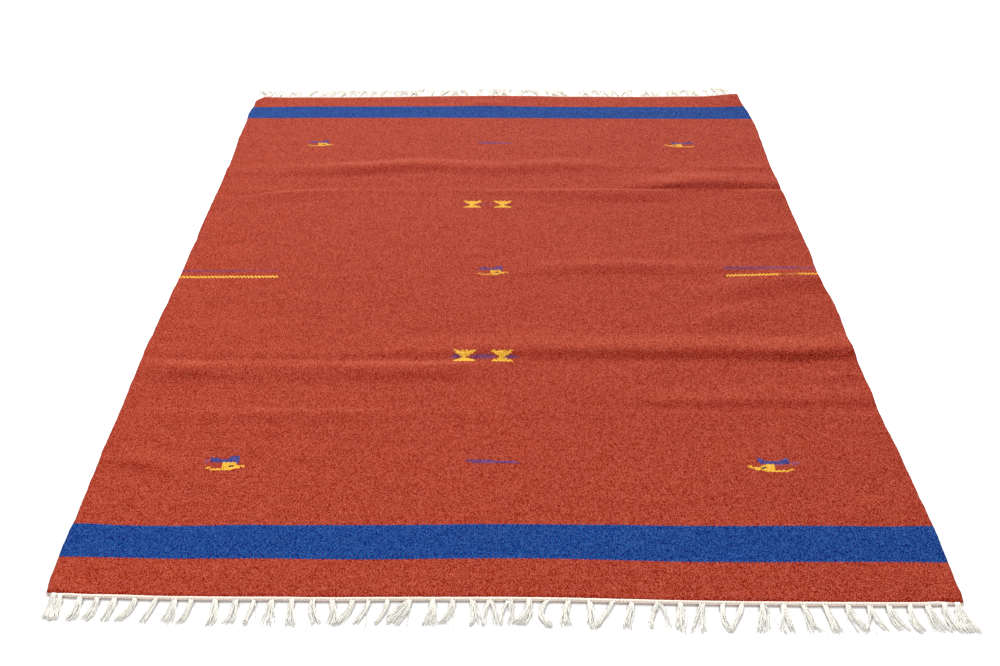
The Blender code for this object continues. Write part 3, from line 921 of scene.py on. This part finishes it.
def set_bump(tree, shader, height, strength, distance):
    bump = tree.nodes.new("ShaderNodeBump")
    bump.inputs["Strength"].default_value = strength
    bump.inputs["Distance"].default_value = distance
    feed(tree, bump.inputs["Height"], height)
    tree.links.new(bump.outputs[0], shader.inputs["Normal"])


SHEEN_ROUGHNESS = 0.5

# Painted shade on the red: it is deeper on slopes that face the near end, away from the key light,
# and paler on the others. The turn is how fast it changes with the slope.
SHADED_SLOPE_RED = linear(169, 56, 33)
LIT_SLOPE_RED = linear(162, 71, 48)
SLOPE_SHADE_TURN = 2.0

# The other dyes, and how strongly each shows in the figures
BLUE = linear(10, 67, 134)
DYES = {
    "Y": linear(236, 178, 62),
    "B": linear(70, 68, 128),
    "V": linear(96, 60, 108),
    "L": linear(132, 74, 112),
    "K": linear(62, 52, 62),
    "D": linear(92, 66, 118),
}
SOLID = {"D": 0.95, "Y": 1.0, "B": 1.0, "V": 0.85, "L": 0.55, "K": 1.0}
CLEAR = (0.0, 0.0, 0.0, 0.0)

# The wool's unevenness: how much lighter or darker each kind makes it, and its size. Then painted
# shade
# that darkens it per metre to the right, and how much of the heather is neutral grey, lighter or
# darker:
# partly grey fibres, partly painted glints of fibres.
FLECKS, FLECK_WIDTH, FLECK_LENGTH = 0.35, RIB / 3, 0.0015
CLUMPS, CLUMP_LENGTH = 0.04, 0.006
FIBRES, FIBRE_SCALE = 0.3, 420.0
STREAKS, STREAKS_ACROSS, STREAKS_ALONG = 0.12, 9, 160
CLOUDS, CLOUD_SCALE = 0.05, 26.0
RIGHTWARD_PAINTED_SHADE = 0.08
GREY_FIBRES_AND_GLINTS = 0.12
DARKEST = 0.002

# The wool's relief: how round its ribs are, how low the beads' ends, and how high its fibres
RIB_ROUNDNESS = 0.5
BEAD_LOW = 0.6
FIBRE_RELIEF = 0.5
WOOL_BUMP = (0.6, 0.0006)

# Cottons: name, colour, colour of the painted shade in the hollows of the twist, and the twist's
# pitch
HEADING_COTTON = ("heading cotton", linear(243, 229, 216), linear(232, 212, 196), 0.004)
FRINGE_COTTONS = {
    NEAR: ("fringe cotton near", linear(254, 251, 242), linear(246, 241, 228), 0.0035),
    # The far fringe's cotton is a darker copy of the near one: painted shade, for strands that
    # face away from the key light.
    FAR: ("fringe cotton far painted shade", linear(250, 242, 230), linear(238, 226, 210), 0.0035),
}

# Their twist, fibres and relief, and the share of shade that the twist, the fibres and the yarn
# itself each bring
COTTON_TWIST, COTTON_TWIST_APART = 6.0, 40
COTTON_FIBRES, COTTON_FIBRE_WIDTH, COTTON_FIBRES_APART = 900.0, 0.002, 5
PLY_SHADE = (0.25, -0.1)
FIBRE_SHADE = (-0.2, 0.3)
YARN_SHADE = (0.0, 0.25)
COTTON_FIBRE_RELIEF = 0.4
COTTON_BUMP = (0.3, 0.0003)

# Small figures, charted: a letter is a dye, a dot the ground, and each place one cell, a
# rib wide and as high as the chart says.
Chart = namedtuple("Chart", "high rows")
LEFT_BIRD = Chart(0.0042, (
    "...........BBBB...",
    "..BBBB....BBBBB...",
    "LLBBBBBBBBBBBBB...",
    "LL.BBBBBBBBBBBB...",
    "L.......YYYYYYB...",
    "........YYYYYY....",
    "........YYYKKYYYYY",
    ".YY.....YYYYYYYY..",
    "...YYYYYYYYYY.....",
))
RIGHT_BIRD = Chart(0.0042, (
    ".....BB..........BB.....",
    ".....BBB.......BBBB.....",
    ".....BBBBBBBBBBBBBB.LLL.",
    "......BBBBBBBBBBBBBLLLLL",
    "........YYYYLLLL....LL..",
    "YY....YYYYYY............",
    ".YYYYYKKYYYY............",
    "...YYYYYYYYY......YY....",
    ".......YYYYYYYYYYY......",
))
HOURGLASSES = Chart(0.0036, (
    "YY..Y.Y..YY........YY..Y.Y..YY",
    ".YYYYYYYYYY........YYYYYYYYYY.",
    ".YYYYYYYYY..........YYYYYYYYY.",
    "..YYYYYYY............YYYYYYY..",
    "...YYYYY..............YYYYY...",
    "....YYY................YYY....",
    "....YY.................YY.....",
    "...YYYYY..............YYYYY...",
    ".YYYYYYYYY..........YYYYYYYYY.",
    "YYYYYYYYYYY........YYYYYYYYYYY",
))
ACCENTS = Chart(0.0036, (
    "..VV.........VVVVVVVV.........VV...",
    ".VVVVV.....VVVVVVVVVVVV.....VVVVVV.",
    "VVVVVV....VVVVVVVVVVVVVV....VVVVVVV",
    "..VVV......VVVVVVVVVV......VVVV....",
))
DASH = Chart(0.0035, (
    "DDDDDDDDDDDD............",
    "DDDDDDDDDDDDDDDDDDDDDD..",
    "...DDDDDDDDDDDDDDDDDDDDD",
))

# Bars woven in from the selvedges: left, right, low, high, dye, and how strongly they show
BARS = (
    (-0.7, -0.486, -0.0375, -0.0308, "Y", 1),
    (-0.7, -0.56, -0.015, -0.005, "V", 0.42),
    (-0.56, -0.486, -0.012, -0.004, "V", 0.34),
    (0.496, 0.612, -0.0385, -0.0322, "Y", 1),
    (0.612, 0.655, -0.036, -0.033, "Y", 0.5),
    (0.655, 0.7, -0.036, -0.03, "Y", 0.9),
    (0.495, 0.655, -0.012, 0.001, "V", 0.6),
    (0.655, 0.7, -0.01, 0, "V", 0.5),
)
BAR_TOOTH = 0.0034

# Stripes, from low to high along the rug
STRIPES = ((-0.92, -0.841), (0.84, 0.9225))

# Each chart with its figures: the place of their middle, and how strongly they show. Later ones
# are woven over earlier ones.
CHARTED = (
    (LEFT_BIRD, (-0.478, -0.682, 1.0), (-0.018, -0.01, 0.72), (-0.481, 0.667, 0.78)),
    (RIGHT_BIRD, (0.471, -0.6845, 1.0), (0.483, 0.667, 0.78)),
    (DASH, (-0.0175, -0.678, 0.85), (-0.0125, 0.672, 0.85)),
    (ACCENTS, (-0.0315, -0.352, 0.85), (-0.03, 0.308, 0.2)),
    (HOURGLASSES, (-0.0335, -0.3495, 1.0), (-0.032, 0.3085, 0.95)),
)


def charted(tree, chart, figures, across, along, ground):
    """Ground with a chart woven in at each of its figures."""
    wide, high = RIB * len(chart.rows[0]), chart.high * len(chart.rows)
    x = y = strength = 0
    for middle_across, middle_along, shown in figures:
        left = round((middle_across - wide / 2) / RIB) * RIB
        own_x, own_y = across - left, along - (middle_along - high / 2)
        here = own_x.within(0.0, wide) * own_y.within(0.0, high)
        x, y, strength = x + here * own_x, y + here * own_y, strength + here * shown
    place, row_number = x / wide, (y / chart.high).floor()
    for number, row in enumerate(reversed(chart.rows)):
        node = tree.nodes.new("ShaderNodeValToRGB")
        ramp = node.color_ramp
        ramp.interpolation = "CONSTANT"
        ramp.elements.remove(ramp.elements[-1])
        for start, dye in enumerate(row):
            if start == 0 or dye != row[start - 1]:
                stop = ramp.elements.new(start / len(row)) if start else ramp.elements[0]
                stop.position = start / len(row)
                stop.color = (*DYES[dye][:3], SOLID[dye]) if dye in DYES else CLEAR
        feed(tree, node.inputs[0], place)
        here = row_number.math("COMPARE", float(number), 0.5)
        here = here * Field(tree, node.outputs["Alpha"]) * strength
        ground = mix(tree, here, ground, Field(tree, node.outputs["Color"]))
    return ground


def dyed_wool(tree, across, along, odd):
    """The wool's colour without its unevenness; odd is 1 on every second rib."""
    # Painted shade: the red deepens on slopes that face the near end, away from the key light.
    _, facing, _ = source(tree, "ShaderNodeNewGeometry", "Normal").xyz()
    slope_shade = (facing * SLOPE_SHADE_TURN + 0.5).clamped()
    stepped = along + odd * TOOTH
    blue = sum(stepped.within(low, high) for low, high in STRIPES)
    dyed = mix(tree, blue, mix(tree, slope_shade, SHADED_SLOPE_RED, LIT_SLOPE_RED), BLUE)
    for left, right, low, high, dye, shown in BARS:
        jagged = along + odd * (BAR_TOOTH if dye == "Y" else 0.0)
        here = across.within(left, right) * jagged.within(low, high) * shown
        dyed = mix(tree, here, dyed, DYES[dye])
    for chart, *figures in CHARTED:
        dyed = charted(tree, chart, figures, across, stepped, dyed)
    return dyed


def wool_material():
    """Weft-faced wool. The last number of each noise's place keeps the noises apart."""
    material, tree, shader = new_material("wool", roughness=0.95, specular=0.02)
    across, along, _ = mark(tree, "woven")
    rib = across / RIB
    rib_number = rib.floor()
    odd = (rib_number / 2).fraction() * 2
    bead = along / BEAD + odd * 0.5

    flecks = speckle(tree, (across / FLECK_WIDTH).floor(), (along / FLECK_LENGTH).floor(), 1.0)
    clumps = speckle(tree, rib_number, (along / CLUMP_LENGTH + odd * 0.5).floor(), 2.0)
    fibres = noise(tree, vector(tree, across, along, 0.0), FIBRE_SCALE, detail=3.0, roughness=0.6)
    streaks = noise(tree, vector(tree, across * STREAKS_ACROSS, along * STREAKS_ALONG, 3.0), 1.0)
    clouds = noise(tree, vector(tree, across, along, 7.0), CLOUD_SCALE)
    heather = flecks.about(FLECKS) + clumps.about(CLUMPS) + fibres.about(FIBRES)
    # Painted shade: the wool darkens per metre to the right.
    light = heather + streaks.about(STREAKS) + clouds.about(CLOUDS) + 1 - across * RIGHTWARD_PAINTED_SHADE
    colour = dyed_wool(tree, across, along, odd).vector_math("SCALE", light, "Scale")
    # Neutral grey flecks, lighter and darker: partly grey fibres, partly painted glints of fibres.
    colour = colour.vector_math("ADD", vector(tree, *[heather * GREY_FIBRES_AND_GLINTS] * 3))
    colour = colour.vector_math("MAXIMUM", (DARKEST,) * 3)
    feed(tree, shader.inputs["Base Color"], colour)

    beads = rib.fraction().crown().math("POWER", RIB_ROUNDNESS)
    beads = beads * bead.fraction().crown().spread(BEAD_LOW, 1.0)
    set_bump(tree, shader, beads + fibres * FIBRE_RELIEF, *WOOL_BUMP)
    return material


def cotton_material(name, colour, twist_shade_colour, pitch):
    """Plied cotton: the twist shows as slanting light and shade along the yarn."""
    material, tree, shader = new_material(name, roughness=0.9, specular=0.1, sheen=0.05)
    distance, around, yarn = mark(tree, "yarn")
    twist = distance * (2 * math.pi / pitch) + around * COTTON_TWIST
    ply = (twist + yarn * COTTON_TWIST_APART).math("SINE") * 0.5 + 0.5
    own = speckle(tree, yarn * 1000, 0.0, 0.0)
    fibres = vector(tree, distance, around * COTTON_FIBRE_WIDTH, yarn * COTTON_FIBRES_APART)
    fibres = noise(tree, fibres, COTTON_FIBRES)
    tone = ply.spread(*PLY_SHADE) + fibres.spread(*FIBRE_SHADE) + own.spread(*YARN_SHADE)
    # Painted shade in the twist's hollows, mixed with the fibres' and the yarn's own random tone.
    feed(tree, shader.inputs["Base Color"], mix(tree, tone.clamped(), colour, twist_shade_colour))
    set_bump(tree, shader, ply + fibres * COTTON_FIBRE_RELIEF, *COTTON_BUMP)
    return material


# Camera, light and floor

CAMERA_PLACE = np.array((-0.01614, -2.31508, 1.33555))
CAMERA_TURN = (0.576124, 0.006782, 0.008932)
CAMERA_LENS = 43.378
CAMERA_SENSOR = 36.0
CAMERA_CLIPS = (0.05, 200.0)

WHITE = (1.0, 1.0, 1.0, 1.0)
WORLD_LIGHT = 0.17
KEY_PLACE = (0.0, 32.7, 12.6)
KEY_SIZE = (9.0, 7.0)
KEY_POWER = 29600.0
FILL_PLACE = (0.0, -20.0, 7.0)
FILL_SIZE = (10.0, 4.0)
FILL_POWER = 2600.0

# The floor: its size and height, its tones, and how it glows white except close to the rug
FLOOR_HALF = 30.0
FLOOR_HEIGHT = -0.0004
FLOOR_TONES = ((0.62, 0.62, 0.62, 1.0), (0.64, 0.64, 0.64, 1.0))
FLOOR_GRAIN = 3.0
FLOOR_GLOW = 0.8
FLOOR_SHADE_REACH = 0.0055
FLOOR_SHADE_DEPTH = 4.0
FLOOR_SHADE_SAMPLES = 8


def make_camera():
    pitch, yaw, roll = CAMERA_TURN
    forward = math.cos(pitch)
    ahead = Vector((math.sin(yaw) * forward, math.cos(yaw) * forward, -math.sin(pitch)))
    level = Vector((math.cos(yaw), -math.sin(yaw), 0.0))
    upright = level.cross(ahead)
    right = math.cos(roll) * level + math.sin(roll) * upright
    up = math.cos(roll) * upright - math.sin(roll) * level
    data = bpy.data.cameras.new("camera")
    data.sensor_width = CAMERA_SENSOR
    data.lens = CAMERA_LENS
    data.clip_start, data.clip_end = CAMERA_CLIPS
    camera = new_object("camera", data)
    turn = Matrix((right, up, -ahead)).transposed().to_4x4()
    camera.matrix_world = Matrix.Translation(Vector(CAMERA_PLACE + FIELD_CENTRE)) @ turn
    bpy.context.scene.camera = camera


def make_light(name, place, size, power):
    """A soft light that faces the middle of the rug."""
    data = bpy.data.lights.new(name, "AREA")
    data.shape = "RECTANGLE"
    data.size, data.size_y = size
    data.energy = power
    light = new_object(name, data)
    light.location = place
    light.rotation_mode = "QUATERNION"
    light.rotation_quaternion = (-Vector(place)).to_track_quat("-Z", "Y")


def make_world():
    """An even soft light all round, which is seen as a white backdrop."""
    world = bpy.data.worlds.new("studio")
    world.use_nodes = True
    tree = world.node_tree
    background = tree.nodes["Background"]
    background.inputs["Color"].default_value = WHITE
    seen = source(tree, "ShaderNodeLightPath", "Is Camera Ray")
    feed(tree, background.inputs["Strength"], seen.math("MAXIMUM", WORLD_LIGHT))
    bpy.context.scene.world = world
    bpy.context.scene.view_settings.view_transform = "Standard"


def make_floor():
    """A pale floor that glows, so that it comes out white but for the rug's contact shadow."""
    mesh = bpy.data.meshes.new("studio_floor")
    corners = [(-1, -1), (1, -1), (1, 1), (-1, 1)]
    points = [(x * FLOOR_HALF, y * FLOOR_HALF, FLOOR_HEIGHT) for x, y in corners]
    mesh.from_pydata(points, [], [(0, 1, 2, 3)])
    material, tree, shader = new_material("pale floor", roughness=0.8, specular=0.1)
    grain = noise(tree, source(tree, "ShaderNodeTexCoord", "Object"), FLOOR_GRAIN)
    feed(tree, shader.inputs["Base Color"], mix(tree, grain, *FLOOR_TONES))
    open_sky = tree.nodes.new("ShaderNodeAmbientOcclusion")
    open_sky.samples = FLOOR_SHADE_SAMPLES
    open_sky.inputs["Distance"].default_value = FLOOR_SHADE_REACH
    glow = Field(tree, open_sky.outputs["AO"]).math("POWER", FLOOR_SHADE_DEPTH) * FLOOR_GLOW
    shader.inputs["Emission Color"].default_value = WHITE
    feed(tree, shader.inputs["Emission Strength"], glow)
    mesh.materials.append(material)
    floor = new_object("studio_floor", mesh)


def main():
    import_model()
    make_camera()
    make_world()
    make_light("key softbox", KEY_PLACE, KEY_SIZE, KEY_POWER)
    make_light("front fill", FILL_PLACE, FILL_SIZE, FILL_POWER)
    make_floor()

    cloth = make_cloth(wool_material())
    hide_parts("rug_cloth")
    heading_cotton = cotton_material(*HEADING_COTTON)
    fringe_cottons = {end: cotton_material(*cotton) for end, cotton in FRINGE_COTTONS.items()}
    with_cloth = []
    for side, end, tassels, loose_strands in (
        ("near", NEAR, NEAR_TASSELS + NEAR_SPLITS, NEAR_STRAYS),
        ("far", FAR, far_tassels(), ()),
    ):
        heading = make_heading(f"twined_heading_{side}", end, heading_cotton)
        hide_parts(f"heading_{side}")
        cotton = fringe_cottons[end]
        fringe = make_fringe(f"tassel_fringe_{side}", end, tassels, loose_strands, cotton)
        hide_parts(f"fringe_{side}")
        with_cloth += [heading, fringe]
    for piece in (cloth, *with_cloth):
        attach(piece, "root")


main()
